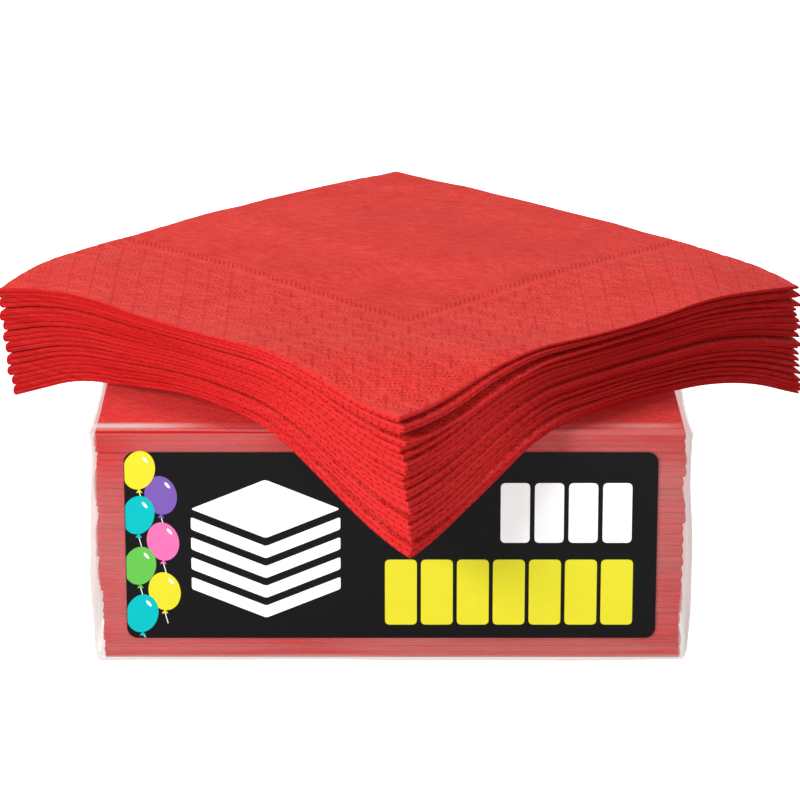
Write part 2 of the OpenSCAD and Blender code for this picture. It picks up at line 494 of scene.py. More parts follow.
def lay_loose(p, q, height):
    """Turns the sheet an eighth of a turn and bends its corners over the block's edges."""
    root2 = math.sqrt(2)
    right = STACK_RIGHT + STACK_LEAN * (1 - height / STACK_H)
    place = [(p - q) / root2 + right, -(p + q) / root2 - STACK_FORWARD]
    drop = np.zeros_like(height)
    for axis, direction, start, radius, steepest in BENDS:
        beyond = np.maximum(direction * place[axis] - start, 0)
        reach, fall = curl(beyond, (radius + height) * steepest, steepest)
        place[axis] = np.where(beyond > 0, direction * (start + reach), place[axis])
        drop = drop + fall
    share = height / STACK_H
    start, length, steepest, flick = (
        mix(*ends, share) for ends in (FRONT_START, FRONT_BEND, FRONT_STEEPEST, FRONT_FLICK)
    )
    beyond = np.maximum(-place[1] - start, 0)
    flick_from = root2 * LOOSE_HALF + STACK_FORWARD - start - FLICK_W
    reach, fall = curl(beyond, length, steepest, flick_from, flick / FLICK_W)
    place[1] = np.where(beyond > 0, -(start + reach), place[1])
    return np.stack([place[0], place[1], STACK_BASE + height - drop - fall], -1)


def emboss_depth(p, q):
    """How deep the top sheet lies below a smooth one: its border, coin line, crepe and swell."""
    x, y = (p - q) / math.sqrt(2), -(p + q) / math.sqrt(2)
    from_edge = np.minimum(LOOSE_HALF - p, LOOSE_HALF - q)
    in_border = smooth((BORDER_W - from_edge) / (1.5 * MM)) * smooth(from_edge / (1.5 * MM))
    down = -(y + x * COLUMN_DROP / COLUMN_W)
    row = np.floor(down / ROW_H)
    down = down - row * ROW_H
    across = np.mod(x - ROW_SHIFT * row, COLUMN_W)
    side = np.minimum(across, COLUMN_W - across)
    long_side = np.abs(np.mod(x, COLUMN_W) - COLUMN_W / 2)
    aside = smooth((np.abs(x) - LONG_SEAMS_FROM + 12 * MM) / (12 * MM))
    groove = np.exp(-((side / GROOVE_HALF_W) ** 2)) * (down < GROOVE_H)
    groove = mix(groove, np.exp(-((long_side / GROOVE_HALF_W) ** 2)), aside)
    dashes = np.exp(-(((down - GROOVE_H) / (0.6 * MM)) ** 2))
    crown = 0.5 - 0.5 * np.cos(2 * np.pi * across / COLUMN_W)
    border = in_border * (GROOVE_DEPTH * groove + DASH_DEPTH * dashes - CROWN_H * crown) * MM
    on_line = smooth(1.6 - 2 * np.abs(from_edge - COIN_LINE) / COIN_LINE_W)
    ticks = on_line * (0.5 + 0.5 * np.cos(2 * np.pi * x / (2 * TICK_PITCH))) * TICK_DEPTH * MM
    middle = smooth((from_edge - COIN_LINE) / (4 * MM))
    crepe = np.sin(y / (0.9 * MM) + 3.2 * np.sin(x / (17 * MM)) + 1.3 * np.sin((x + y) / (5.3 * MM)))
    crepe = crepe * (0.6 + 0.4 * np.sin(x / (9 * MM) + y / (13 * MM)))
    swell = np.sin(y / (4.5 * MM) + 1.9 * np.sin(x / (23 * MM) + 1) + np.sin(x / (8 * MM)))
    return border + ticks + (0.15 + 0.85 * middle) * (CREPE_H * crepe + SWELL_H * swell) * MM


def loose_sheets():
    """Where each loose napkin lies in the stack; the lowest pokes out and the top one lies true."""
    rng = np.random.default_rng(5)
    sheets = [
        Sheet(rng, LOOSE_HALF, 0.9 * MM, 0.16 * MM, np.array([0.8, 0.2]) * MM, math.radians(0.2))
        for _ in range(LOOSE_COUNT)
    ]
    sheets[0].shift[:] = (0.9 * MM, 0.1 * MM)
    sheets[-1].turn = 0
    sheets[-1].shift[:] = 0
    for sheet in sheets:
        sheet.turn += STACK_TURN
    return sheets


def make_loose_stack():
    sheets = loose_sheets()
    # The lower leaves take the darker copy of the tissue without sheen: painted shade between the leaves
    plain = ("tissue_shaded", "tissue_edge")
    whole, first = fold_line(44, 6), fold_line(44, 4)
    for number, sheet in enumerate(sheets[:-1], 1):
        folded = FoldedPoints(sheet, stack_slots(number), whole, first)
        obj = folded_sheet(f"loose_napkin_{number:02d}_sheet", folded, lay_loose, plain)
        stand_for(obj, f"loose_napkin_{number:02d}", f"napkin_{number:02d}")
    make_top_napkin(sheets[-1], first, plain)


def make_top_napkin(sheet, first, plain):
    """The top napkin: its lower two leaves, and its upper two with the spine."""
    slots, body = stack_slots(LOOSE_COUNT), f"napkin_{LOOSE_COUNT:02d}"
    folded = FoldedPoints(sheet, slots, fold_line(44, 6, turn=False, high=False), first)
    lower = folded_sheet("top_napkin_lower_leaves", folded, lay_loose, plain)
    stand_for(lower, f"loose_{body}", body)

    spine, across = fold_line(FINE, 8, low=False), fold_line(FINE, 4, high_steps=30)
    folded = FoldedPoints(sheet, slots, spine, across)
    looks = ("tissue", "tissue_edge")
    upper = folded_sheet("top_napkin_upper_leaves", folded, lay_loose, looks, emboss_depth)
    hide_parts("top_napkin_flap")
    along_p = Vector((1, -1, 0)).normalized()
    middle = Vector((STACK_RIGHT, -STACK_FORWARD, STACK_BASE + STACK_H))
    start, end = (middle + along_p * (inward - LOOSE_HALF) for inward in (1.0 * MM, 5.0 * MM))
    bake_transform(upper)
    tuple(start)
    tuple(end)


# ---- The wrapped block ----

PACK_LEAVES = PACK_COUNT * LEAVES
# Thickness of a wrapped leaf; the rest of the block's height is gaps between the leaves
PACK_LEAF_T = 0.765 * MM


def packed_slots(number, gaps):
    """The leaf slots of one wrapped napkin, number 1 being the lowest."""
    free = BLOCK_H - PACK_LEAVES * PACK_LEAF_T

    def slots(p, q):
        leaves = range((number - 1) * LEAVES, number * LEAVES)
        middles = [(leaf + 0.5) * PACK_LEAF_T + free * gaps[leaf] for leaf in leaves]
        return [middle + 0 * p for middle in middles], np.full_like(p, PACK_LEAF_T)

    return slots


def lay_packed(p, q, height):
    return np.stack([-p, np.maximum(-q, -HALF - 0.1 * MM), BLOCK_LO.z + height], -1)


def make_pack_napkins():
    rng = np.random.default_rng(23)
    gaps = gap_shares(rng, PACK_COUNT, 0.25, 1.4)
    # The lower half's napkins are pulled in more and more, and each two lean a little together
    low = smooth(1.6 - 3.2 * (np.arange(PACK_COUNT) + 1) / PACK_COUNT)
    lean = np.repeat(rng.uniform(-0.25, 0.45, PACK_COUNT // 2), 2) - 0.7 * low
    lean = (lean + rng.uniform(-0.12, 0.12, PACK_COUNT)) * MM
    folds = fold_line(26, 6), fold_line(26, 4)
    for number in range(1, PACK_COUNT + 1):
        narrower = 0.9 * MM * low[number - 1]
        sheet = Sheet(rng, HALF - narrower, 0.25 * MM, 0.1 * MM, 0.0, math.radians(0.12))
        sheet.fold_bulge = 0.35
        sheet.rim_bulge = 0.2 * MM
        sheet.shift[:] = (lean[number - 1], narrower - 0.3 * MM)
        name, looks = f"pack_napkin_{number:02d}", ("tissue_packed_lit", "packed_edge_lit")
        folded = FoldedPoints(sheet, packed_slots(number, gaps), *folds)
        stand_for(folded_sheet(f"{name}_sheet", folded, lay_packed, looks), name, ROOT)


# ---- Film ----


def box_grid(counts):
    """Points from 0 to 1 and quads of a closed box whose faces are grids."""
    points, faces, seen = [], [], {}

    def vertex(key):
        if key not in seen:
            seen[key] = len(points)
            points.append([n / c for n, c in zip(key, counts)])
        return seen[key]

    for axis in range(3):
        u, v = [a for a in range(3) if a != axis]
        for end, i, j in product((0, counts[axis]), range(counts[u]), range(counts[v])):
            corners = []
            for di, dj in ((0, 0), (1, 0), (1, 1), (0, 1)):
                place = [0, 0, 0]
                place[axis], place[u], place[v] = end, i + di, j + dj
                corners.append(vertex(tuple(place)))
            outward = (end > 0) != (axis == 1)
            faces.append(corners if outward else corners[::-1])
    return np.array(points, float), np.array(faces)


# The film's corner radii across, from front to back, and upwards
FILM_CORNERS = np.array([2.4, 1.1, 0.7]) * MM
# In millimetres: height of the film's loose foot along the front, how far it stands out, and
# half the height of the lap along the back
FOOT_H = 6
FOOT_OUT = 2.6
SEAM_HALF = 7


def side_wave(y, z, side):
    """How the film wavers off the sides, in millimetres, at places in millimetres."""
    wave = 0.45 * np.sin(z / 9.5 + 2.0 * np.sin(y / 31)) + 0.3 * np.sin(y / 12.5 + z / 17)
    return wave + 0.15 * np.sin(z / 4.1 + y / 9 + side * 1.3)


def film_skin():
    """The film as one closed skin with soft corners, loose at the sides and tight in front."""
    lo = np.array([FILM_LO.x + 0.2 * MM, FILM_LO.y + 0.2 * MM, 0.05 * MM])
    hi = np.array([FILM_HI.x - 0.2 * MM, FILM_HI.y - 0.2 * MM, FILM_HI.z - 0.05 * MM])
    counts = [max(2, round(side)) for side in (hi - lo) / (2.0 * MM)]
    unit, faces = box_grid(counts)
    points = lo + unit * (hi - lo)
    inner = np.clip(points, lo + FILM_CORNERS, hi - FILM_CORNERS)
    away = (points - inner) / FILM_CORNERS
    length = np.maximum(np.linalg.norm(away, axis=1, keepdims=True), 1e-9)
    points = inner + away / length * FILM_CORNERS
    x, y, z = (points / MM).T
    side = np.sign(x)
    at_side = smooth((np.abs(points[:, 0]) - HALF + 1 * MM) / (2 * MM))
    points[:, 0] += side * at_side * (side_wave(y, z, side) - 0.3) * 0.8 * MM
    at_back = smooth((points[:, 1] - HALF + 1 * MM) / (1.5 * MM))
    points[:, 1] += at_back * (0.3 * np.sin(x / 14 + z / 8) - 0.3) * MM
    at_front = smooth((-points[:, 1] - HALF + 1 * MM) / (1 * MM))
    foot = at_front * smooth((FOOT_H - z) / FOOT_H)
    points[:, 1] -= foot * (FOOT_OUT + 0.5 * np.sin(x / 21) + 0.3 * np.sin(x / 8 + 1)) * MM
    return new_mesh("film_skin", points, faces)


def film_flap(name, corners, outward, wave):
    """A thin patch of film over four corners, given row by row, that wavers off the block."""
    unit, faces = box_grid((40, 24, 1))
    u, v, w = unit[:, :1], unit[:, 1:2], unit[:, 2:]
    a, b, c, d = (np.array(corner) * MM for corner in corners)
    points = mix(mix(a, b, u), mix(c, d, u), v)
    y, z, x = points[:, 1] / MM, points[:, 2] / MM, points[:, 0] / MM
    lift = (wave(x, y, z) * MM)[:, None] + (w - 0.5) * 0.08 * MM
    return new_mesh(name, points + np.array(outward) * lift, faces)


def end_flaps(side, word):
    """The lower and the upper flap that close the film over one side of the block."""
    front, back = FILM_LO.y / MM + 2.5, FILM_HI.y / MM - 3.0
    top, x = FILM_HI.z / MM - 1.5, side * (HALF / MM + 2.0)
    low = [(x, front, 1.5), (x, back, 1.5), (x, front + 33, 0.62 * top), (x, back - 33, 0.62 * top)]
    high = [(x, front, top), (x, back, top), (x, front + 31, 0.42 * top), (x, back - 31, 0.42 * top)]

    def wave_at(gap):
        return lambda _, y, z: (side_wave(y, z, side) - 0.3) * 0.8 + gap

    return [
        film_flap(f"film_{word}_lower_flap", low, (side, 0, 0), wave_at(0.3)),
        film_flap(f"film_{word}_upper_flap", high, (side, 0, 0), wave_at(0.5)),
    ]


def back_seam():
    """The lap that closes the film along the middle of the back."""
    y, middle = FILM_HI.y / MM - 0.4, (FILM_HI.z / MM - 1.5) / 2
    half_w = HALF / MM - 2
    corners = [(side * half_w, y, middle + up) for up in (-SEAM_HALF, SEAM_HALF) for side in (-1, 1)]

    def wave(x, _, z):
        return 0.3 * np.sin(x / 14 + z / 8) - 0.1

    return film_flap("film_back_seam", corners, (0, 1, 0), wave)


def make_film():
    skin = film_skin()
    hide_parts("film_wrap")
    for obj in [skin] + end_flaps(-1, "left") + end_flaps(1, "right") + [back_seam()]:
        obj.data.materials.append(MATERIALS["film"])
        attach(obj, ROOT)


# ---- Label ----

INKS = {
    "label_black": (18, 17, 18),
    "print_white": (252, 252, 252),
    "print_yellow": (229, 220, 49),
    "print_green": (102, 191, 80),
    "print_teal": (0, 188, 191),
    "print_pink": (238, 115, 176),
    "print_purple": (123, 91, 176),
}

# Thickness of one layer of print
PRINT_T = 0.06 * MM
# How far the print stays inside the label's edges, in millimetres
PRINT_INSET = 0.2


def print_shapes(name, outlines, ink, layer=1):
    """Flat printed shapes of one ink, outlined in millimetres right of and below the label's corner."""
    front = LABEL_LO.y - layer * PRINT_T
    lowest = (LABEL_HI.z - LABEL_LO.z) / MM - PRINT_INSET
    points, faces = [], []
    for outline in outlines:
        start, n = len(points), len(outline)
        for y in (front, LABEL_LO.y):
            points += [
                (LABEL_LO.x + max(x, PRINT_INSET) * MM, y, LABEL_HI.z - min(z, lowest) * MM)
                for x, z in outline
            ]
        faces.append([start + i for i in range(n)][::-1])
        faces.append([start + n + i for i in range(n)])
        for i in range(n):
            j = (i + 1) % n
            faces.append([start + i, start + j, start + n + j, start + n + i])
    obj = new_mesh(name, points, faces, smooth_faces=False)
    obj.data.materials.append(MATERIALS[ink])
    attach(obj, ROOT)


def softened(corners, cut):
    """An outline with each corner rounded off, cut back by cut along both its sides."""
    outline = []
    for i, corner in enumerate(corners):
        at = Vector(corner)
        before = (Vector(corners[i - 1]) - at).normalized() * cut
        after = (Vector(corners[(i + 1) % len(corners)]) - at).normalized() * cut
        for step in range(6):
            t = step / 5
            outline.append(tuple(at + before * (1 - t) ** 2 + after * t**2))
    return outline


def oval(x, z, width, height, lean=0.0, steps=40):
    """An outline round x, z, turned by lean."""
    cos, sin = math.cos(lean), math.sin(lean)
    outline = []
    for step in range(steps):
        angle = -2 * math.pi * step / steps
        u, v = width / 2 * math.cos(angle), height / 2 * math.sin(angle)
        outline.append((x + u * cos - v * sin, z + u * sin + v * cos))
    return outline


def upright_bars(count, pitch, x, z, width, height):
    """A row of bars with soft corners, pitch apart."""
    lefts = [x + pitch * i for i in range(count)]
    bottom = z + height
    return [
        softened([(left, z), (left, bottom), (left + width, bottom), (left + width, z)], 1.4)
        for left in lefts
    ]


def chevron(middle, z, half_w, drop, thick):
    """A V-shaped band, as one layer of a stack of folded squares seen from a corner."""
    left, right = middle - half_w, middle + half_w
    lower = [(left, z), (left, z + thick), (middle, z + drop + thick), (right, z + thick)]
    return softened(lower + [(right, z), (middle, z + drop)], 0.7)


# Each balloon's ink and middle, in millimetres right of and below the label's corner
BALLOONS = (
    ("print_yellow", 4.2, 5.2),
    ("print_purple", 10.2, 12.6),
    ("print_teal", 3.8, 18.4),
    ("print_pink", 10.6, 26.2),
    ("print_green", 4.0, 33.4),
    ("print_yellow", 10.8, 41.0),
    ("print_teal", 4.4, 47.6),
)


def make_balloons():
    glints, strings = [], []
    for number, (ink, x, z) in enumerate(BALLOONS, 1):
        lean = 0.25 if number % 2 else -0.2
        knot = [(x - 0.9, z + 6.6), (x + 0.9, z + 6.6), (x, z + 5.4)]
        print_shapes(f"print_balloon_{number}", [oval(x, z, 9.0, 11.4, lean), knot], ink, 2 + number % 2)
        glints.append(oval(x + 1.9, z - 3.0, 0.8, 2.2, -0.7, 16))
        top, end = z + 6.4, z + 9.6
        strings.append([(x - 0.12, top), (x + 0.7, end), (x + 0.95, end), (x + 0.13, top)])
    print_shapes("print_balloon_glints", glints, "print_white", 4)
    print_shapes("print_balloon_strings", strings, "print_white", 1)


def make_label():
    """A black label with plain shapes in place of any wording."""
    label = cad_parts["front_label"]
    label.data.materials.clear()
    label.data.materials.append(MATERIALS["label_black"])
    make_balloons()
    middle, top, half_w, drop = 39.5, 8.0, 21.0, 8.6
    left, right = middle - half_w, middle + half_w
    sheet = [(middle, top), (left, top + drop), (middle, top + 2 * drop), (right, top + drop)]
    layers = [chevron(middle, top + 11.0 + 5.9 * i, half_w, drop, 3.6) for i in range(4)]
    print_shapes("print_napkin_stack", [softened(sheet, 0.9)] + layers, "print_white")
    print_shapes("print_white_bars", upright_bars(4, 9.55, 105.5, 9.0, 8.2, 17.6), "print_white")
    print_shapes("print_yellow_bars", upright_bars(7, 10.15, 73.0, 31.6, 9.0, 19.4), "print_yellow")


# ---- Materials ----

MATERIALS = {}
# Strength of the glow given to the wrapped napkins and their edges: painted light, standing in for light
# that seeps through the wrapped leaves into the gaps between them, which lifts the loose stack's shade
# on them
PACKED_TISSUE_GLOW = 0.12
# How strongly the label's inks glow, giving light back from all sides: painted light that keeps the
# print bright in shade
INK_GLOW = 0.36


def math_method(operation, swapped=False):
    """An operator of Value, which adds a math node."""

    def method(self, other):
        values = (other, self) if swapped else (self, other)
        return self.graph.math(operation, *values)

    return method


class Value:
    """What a node gives out at each point of a surface; it takes part in ordinary sums."""

    def __init__(self, graph, socket):
        self.graph = graph
        self.socket = socket

    __add__ = __radd__ = math_method("ADD")
    __mul__ = __rmul__ = math_method("MULTIPLY")
    __sub__ = math_method("SUBTRACT")
    __rsub__ = math_method("SUBTRACT", swapped=True)
    __truediv__ = math_method("DIVIDE")
    __mod__ = math_method("FLOORED_MODULO")
    __pow__ = math_method("POWER")
    __lt__ = math_method("LESS_THAN")
    __gt__ = math_method("GREATER_THAN")

    def __abs__(self):
        return self.graph.math("ABSOLUTE", self)


class Graph:
    """Short calls for building one material's nodes."""

    def __init__(self, name):
        self.material = bpy.data.materials.new(name)
        self.material.use_nodes = True
        self.tree = self.material.node_tree
        self.shader = self.tree.nodes["Principled BSDF"]
        MATERIALS[name] = self.material

    def put(self, socket, value):
        if isinstance(value, Value):
            self.tree.links.new(value.socket, socket)
        else:
            socket.default_value = value

    def node(self, kind, inputs=(), **settings):
        node = self.tree.nodes.new(kind)
        for key, value in settings.items():
            setattr(node, key, value)
        for key, value in dict(inputs).items():
            self.put(node.inputs[key], value)
        return node

    def value(self, kind, output=0, inputs=(), **settings):
        return Value(self, self.node(kind, inputs, **settings).outputs[output])

    def math(self, operation, *values, clamp=False):
        inputs = dict(enumerate(values))
        return self.value("ShaderNodeMath", 0, inputs, operation=operation, use_clamp=clamp)

    def larger(self, a, b):
        return self.math("MAXIMUM", a, b)

    def smaller(self, a, b):
        return self.math("MINIMUM", a, b)

    def floor(self, value):
        return self.math("FLOOR", value)

    def clamped(self, value):
        return self.math("ADD", value, 0.0, clamp=True)

    def distance(self, a, b):
        """Straight distance of two sides of a right angle."""
        return self.math("SQRT", a * a + b * b)

    def bump(self, height, distance, strength=1.0):
        inputs = {"Strength": strength, "Distance": distance, "Height": height}
        return self.value("ShaderNodeBump", 0, inputs)

    def vector(self, x=0.0, y=0.0, z=0.0):
        return self.value("ShaderNodeCombineXYZ", 0, {"X": x, "Y": y, "Z": z})

    def split(self, vector):
        node = self.node("ShaderNodeSeparateXYZ", {"Vector": vector})
        return [Value(self, output) for output in node.outputs]

    def on_sheet(self):
        """The place on the sheet that the mesh's UV map holds, in millimetres."""
        return self.split(self.value("ShaderNodeUVMap", uv_map="sheet"))[:2]

    def shape(self, output):
        return self.value("ShaderNodeNewGeometry", output)

    def noise(self, vector, scale, detail=3.0, roughness=0.5):
        inputs = {"Vector": vector, "Scale": scale, "Detail": detail, "Roughness": roughness}
        return self.value("ShaderNodeTexNoise", "Fac", inputs)

    def ramp(self, value, low, high):
        """0 at low and 1 at high, softly."""
        inputs = {"Value": value, "From Min": low, "From Max": high}
        return self.value("ShaderNodeMapRange", "Result", inputs, interpolation_type="SMOOTHSTEP")

    def mix_colour(self, share, a, b):
        return self.value("ShaderNodeMix", 2, {"Factor": share, 6: a, 7: b}, data_type="RGBA")

    def finish(self, **inputs):
        for key, value in inputs.items():
            self.put(self.shader.inputs[key.replace("_", " ")], value)


def linear(r, g, b):
    """An sRGB colour in 0 to 255 as linear values."""
    parts = [c / 255 for c in (r, g, b)]
    return [c / 12.92 if c <= 0.04045 else ((c + 0.055) / 1.055) ** 2.4 for c in parts] + [1.0]


def cell(g, value, pitch):
    """How far a place is from the middle of its cell, as a share of the pitch."""
    return g.math("FRACT", value / pitch) - 0.5


def pit(g, beside, above):
    return g.ramp(g.distance(beside, above * 1.25), 0.42, 0.14)


def border_blocks(g, x, y):
    """Which column of blocks a place is in, and how far it is across and down its own block."""
    width, length = COLUMN_W / MM, ROW_H / MM
    rows_down = (y + x * (COLUMN_DROP / COLUMN_W)) / -length
    down = g.math("FRACT", rows_down) * length
    along_row = x - g.floor(rows_down) * (ROW_SHIFT / MM)
    column = g.floor(along_row / width)
    return column, along_row - column * width, down


def dot_marks(g, y, column, across, down):
    """Rows of pits of uneven depth, every fourth row shifted; they fade at a block's blank end."""
    pitch = COLUMN_W / MM / DOTS_ACROSS
    row = g.floor(y / PIT_RISE)
    fourth = row % 4.0 < 0.5
    shifted = across + fourth * (0.5 * pitch)
    place = g.vector(row, column, g.floor(shifted / pitch))
    chance = g.value("ShaderNodeTexWhiteNoise", "Value", {"Vector": place})
    depth = 0.45 + chance * 0.45 + fourth * 0.15
    dots = pit(g, cell(g, shifted, pitch), cell(g, y, PIT_RISE)) * depth
    return dots * (1.0 - (down > BLANK_FROM) * 0.8)


def groove_marks(g, x, y, across, down):
    """Short pitted grooves between the blocks; towards the side corners they run on as lines."""
    width = COLUMN_W / MM
    to_side = g.smaller(across, width - across)
    pits = pit(g, to_side / 1.1, cell(g, y, 0.95))
    short = g.larger(pits * 0.8, g.ramp(to_side, 0.5, 0.15) * 0.5) * (down < GROOVE_H / MM)
    running = g.ramp(abs(cell(g, x, width) * width), 0.6, 0.15) * 0.4
    aside = g.ramp(abs(x), LONG_SEAMS_FROM / MM - 12, LONG_SEAMS_FROM / MM)
    return g.larger(running * aside, short * (1.0 - aside))


def tick_marks(g, x, from_edge):
    """The coin line: a row of ticks just inside the border."""
    line = g.ramp(abs(from_edge - COIN_LINE / MM), 1.9, 1.4)
    tick = g.ramp(abs(cell(g, x, TICK_PITCH / MM)), 0.32, 0.12)
    return tick * line * 0.6


def emboss_nodes(g, x, y, from_edge):
    """How deeply the border's pattern is pressed in, 0 to 1, at places in millimetres."""
    column, across, down = border_blocks(g, x, y)
    marks = g.larger(groove_marks(g, x, y, across, down), dot_marks(g, y, column, across, down))
    border = marks * g.ramp(from_edge, BORDER_W / MM + 0.5, BORDER_W / MM - 1)
    worn = g.clamped(0.65 + g.ramp(g.noise(g.vector(x, y), 0.16), 0.35, 0.65))
    return g.larger(border, tick_marks(g, x, from_edge)) * worn


def tissue_material(name, sheen, dyed, pale):
    """Creped tissue with its embossed border, and a sheen of loose fibres where one is given. Its colour
    is painted lighter on the crepe's ridges and darker in its troughs, painted light and shade, and
    darker in the pressed marks, partly painted shade.
    """
    g = Graph(name)
    p, q = g.on_sheet()
    half, root = LOOSE_HALF / MM, 1 / math.sqrt(2)
    x, y = (p - q) * root, (p + q) * -root
    from_edge = g.smaller(half - p, half - q)
    marks = emboss_nodes(g, x, y, from_edge)
    middle = g.ramp(from_edge, BORDER_W / MM, BORDER_W / MM + 8)
    over = y * 0.9 + x * 0.42 + g.noise(g.vector(x, y), 0.022, 2.0) * 30.0
    along = x * 0.9 - y * 0.42
    crepe = g.noise(g.vector(along * 0.2, over * 0.62), 1.0, detail=5.0, roughness=0.68)
    grain = g.noise(g.vector(x * 1.3, y * 1.9), 1.0)
    relief = crepe * (0.7 + middle * 1.3) + grain * 0.4 - marks * 0.5
    crepe_light_shade = crepe * 0.6 + grain * 0.4
    cloud = g.ramp(g.noise(g.vector(x, y), 0.05), 0.35, 0.65)
    colour = g.mix_colour(cloud, dyed, pale)
    # Painted highlight on the crepe's ridges and painted shade in its troughs, following the relief
    colour = g.mix_colour(g.ramp(crepe_light_shade, 0.42, 0.66) * 0.55, colour, linear(248, 96, 84))
    colour = g.mix_colour(g.ramp(crepe_light_shade, 0.5, 0.32) * 0.45, colour, linear(206, 28, 26))
    g.finish(
        # The pressed marks are painted a deeper red: partly the pressed tissue's own colour, partly
        # painted shade in their recesses
        Base_Color=g.mix_colour(marks * 0.65, colour, linear(180, 8, 10)),
        Roughness=0.85,
        Normal=g.bump(relief, 0.55 * MM),
        Specular_IOR_Level=0.25,
        Sheen_Weight=sheen * (1.0 - marks),
        Sheen_Roughness=0.5,
        Sheen_Tint=linear(255, 190, 175),
    )


def edge_material(name, pitted, dyed, pale):
    """Cut edges of the leaves: pressed fibres, with small dark pits from the embossing pins, partly
    painted shade; painted shade in the gaps between leaf pairs, and painted light towards the front tip.
    """
    g = Graph(name)
    along, leaf = g.on_sheet()
    across = leaf - g.math("ROUND", leaf / 4.0) * 4.0
    to_tip = g.ramp(along, -60.0, 70.0)
    on_right = g.ramp(g.split(g.shape("Normal"))[0], 0.0, 0.5)

    beside = cell(g, along, EDGE_PIT_PITCH) * EDGE_PIT_PITCH
    pits = g.ramp(g.distance(beside, across), 0.4, 0.18) * (0.3 + to_tip * 0.7)
    pits = pits * pitted * (1.0 - on_right * 0.35)

    fibre = g.noise(g.vector(along * 1.2, leaf * 5.0), 1.0)
    height = g.split(g.shape("Position"))[2]
    streak = g.noise(g.vector(along * 0.02, height * 1100.0), 1.0, 2.0)
    light = g.ramp(fibre * 0.4 + streak * 0.6, 0.35, 0.65)
    # Towards the hanging front tip the pitted edges are painted lighter: painted light
    light = light * (1 - 0.5 * pitted) + to_tip**2.0 * (0.6 * pitted)

    # Painted shade: darker at the gaps between leaf pairs and on each pair's lower side, deeper on the
    # right face and away from the front tip
    between = g.ramp(abs(across), 0.42, 0.72) + g.ramp(across, 0.1, -0.6) * 0.6
    depth = g.larger(on_right, 1.0 - to_tip * 0.75) * (0.5 + 0.5 * pitted)
    painted_gap_shade = g.clamped(between * 0.58) * depth

    colour = g.mix_colour(light, dyed, pale)
    colour = g.mix_colour(painted_gap_shade, colour, linear(120, 4, 8))
    g.finish(
        Base_Color=g.mix_colour(pits * 0.5, colour, linear(136, 6, 12)),
        Roughness=0.9,
        Normal=g.bump(fibre * 0.3 - pits * 0.7, 0.2 * MM, 0.7),
        Specular_IOR_Level=0.15,
    )


def film_glare(g, x, y, behind):
    """A painted highlight: the bright band along the top's front edge, strongest to both sides of the
    loose stack.
    """
    band = g.ramp(abs(behind - 4.6 * MM), 4.0 * MM, 0.5 * MM)
    patchy = g.ramp(g.noise(g.vector(x * 30.0, y * 60.0), 1.0, 2.0), 0.3, 0.6)
    at_left = g.ramp(x, -HALF + 38 * MM, -HALF + 8 * MM)
    at_right = g.ramp(abs(x - (HALF - 12 * MM)), 16 * MM, 2 * MM)
    return band * (0.08 + (at_left * 1.5 + at_right * 0.9) * (0.45 + patchy * 0.55))


def film_alpha(g, place, normal, facing):
    """Milkier where the film is edge-on, creased, glaring or clear of the napkins behind it."""
    x, y, z = place
    tilt = abs(normal[2])
    flat = g.ramp(tilt, 0.3, 0.9)
    on_side = g.ramp(abs(normal[0]), 0.93, 0.99)
    standing = 1.0 - flat
    behind = y - FILM_LO.y
    haze = g.ramp(g.noise(g.vector(x * 22.0, y * 22.0, z * 40.0), 1.0, 3.0, 0.6), 0.3, 0.75)
    # The standing film is made clearer near its top, so the red shows darker there: painted shade of the
    # overhanging loose stack
    overhang_shade = g.ramp(z, FILM_HI.z - 16 * MM, FILM_HI.z - 5 * MM)
    plain = (0.09 - overhang_shade * 0.04 + haze * 0.1) * standing + haze * 0.03 * flat
    edge_on = facing**3.0 * (0.95 - flat * 0.92)
    alpha = g.clamped(plain + edge_on + film_glare(g, x, y, behind) * flat * 0.45)
    hem = g.ramp(z, 2.6 * MM, 0.8 * MM) * 0.45
    crease = g.ramp(tilt, 0.1, 0.4) * g.ramp(tilt, 0.995, 0.9) * (behind < 4 * MM) * 0.16
    outward = abs(x) + g.ramp(z, 30 * MM, 12 * MM) * (1.1 * MM)
    beside_block = g.ramp(outward, HALF - 0.8 * MM, HALF + 1.0 * MM) * (1.0 - g.larger(flat, on_side))
    return g.larger(g.larger(g.larger(alpha, hem), crease), beside_block * 0.6)


def film_material():
    """Clear film, milky where it stands edge-on or pulls off the napkins."""
    g = Graph("film")
    place = x, y, z = g.split(g.shape("Position"))
    normal = g.split(g.shape("Normal"))
    facing = g.value("ShaderNodeLayerWeight", "Facing", {"Blend": 0.5})
    wrinkles = g.noise(g.vector(x * 55.0, y * 55.0, z * 110.0), 1.0, 2.0)
    g.finish(
        Base_Color=linear(214, 210, 206),
        Roughness=0.25,
        Alpha=film_alpha(g, place, normal, facing),
        Normal=g.bump(wrinkles, 0.4 * MM, 0.4),
        Specular_IOR_Level=0.5,
        # The film glows, most where it is edge-on: painted light standing in for light scattered through
        # the film
        Emission_Color=linear(222, 230, 228),
        Emission_Strength=0.2 + facing**2.0 * 0.4,
    )


def print_material(name, colour):
    """Ink on a smooth label: a little mottle and a fine tooth."""
    g = Graph(name)
    place = g.shape("Position")
    mottle = g.noise(place, 220.0)
    darker, lighter = ([c * share for c in colour[:3]] + [1.0] for share in (0.84, 0.92))
    g.finish(
        Base_Color=g.mix_colour(mottle, darker, lighter),
        Roughness=0.33 + mottle * 0.1,
        Normal=g.bump(g.noise(place, 2600.0, 2.0), 0.05 * MM, 0.12),
        Specular_IOR_Level=0.15,
        # The ink glows: painted light
        Emission_Color=colour,
        Emission_Strength=INK_GLOW,
    )


